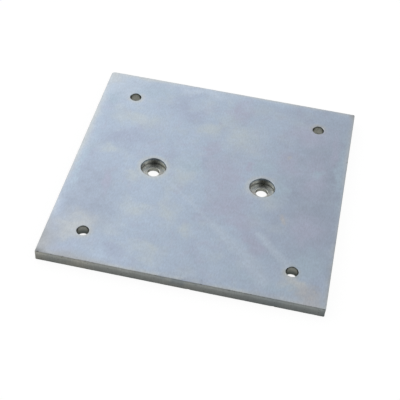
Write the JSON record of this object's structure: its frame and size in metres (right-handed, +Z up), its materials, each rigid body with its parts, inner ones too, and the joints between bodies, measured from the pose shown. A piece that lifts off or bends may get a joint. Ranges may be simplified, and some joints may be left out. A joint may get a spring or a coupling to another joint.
{
  "type": "mounting plate",
  "caption": "Square flat zinc-plated steel mounting plate with plain screw holes near its corners and counterbored holes on its middle line.",
  "frame": {"origin": "centre of the underside, the face that bears on what the plate is fixed to", "axes": "+X along the front edge and through both counterbored holes, +Y towards the back edge, +Z up through the thickness, out of the face with the counterbores"},
  "size_m": [0.19, 0.19, 0.008],
  "materials": {
    "zinc_plated_steel": "satin zinc plating, clear passivated"
  },
  "bodies": {
    "root": {"mounting_plate": "zinc_plated_steel"}
  },
  "joints": []
}
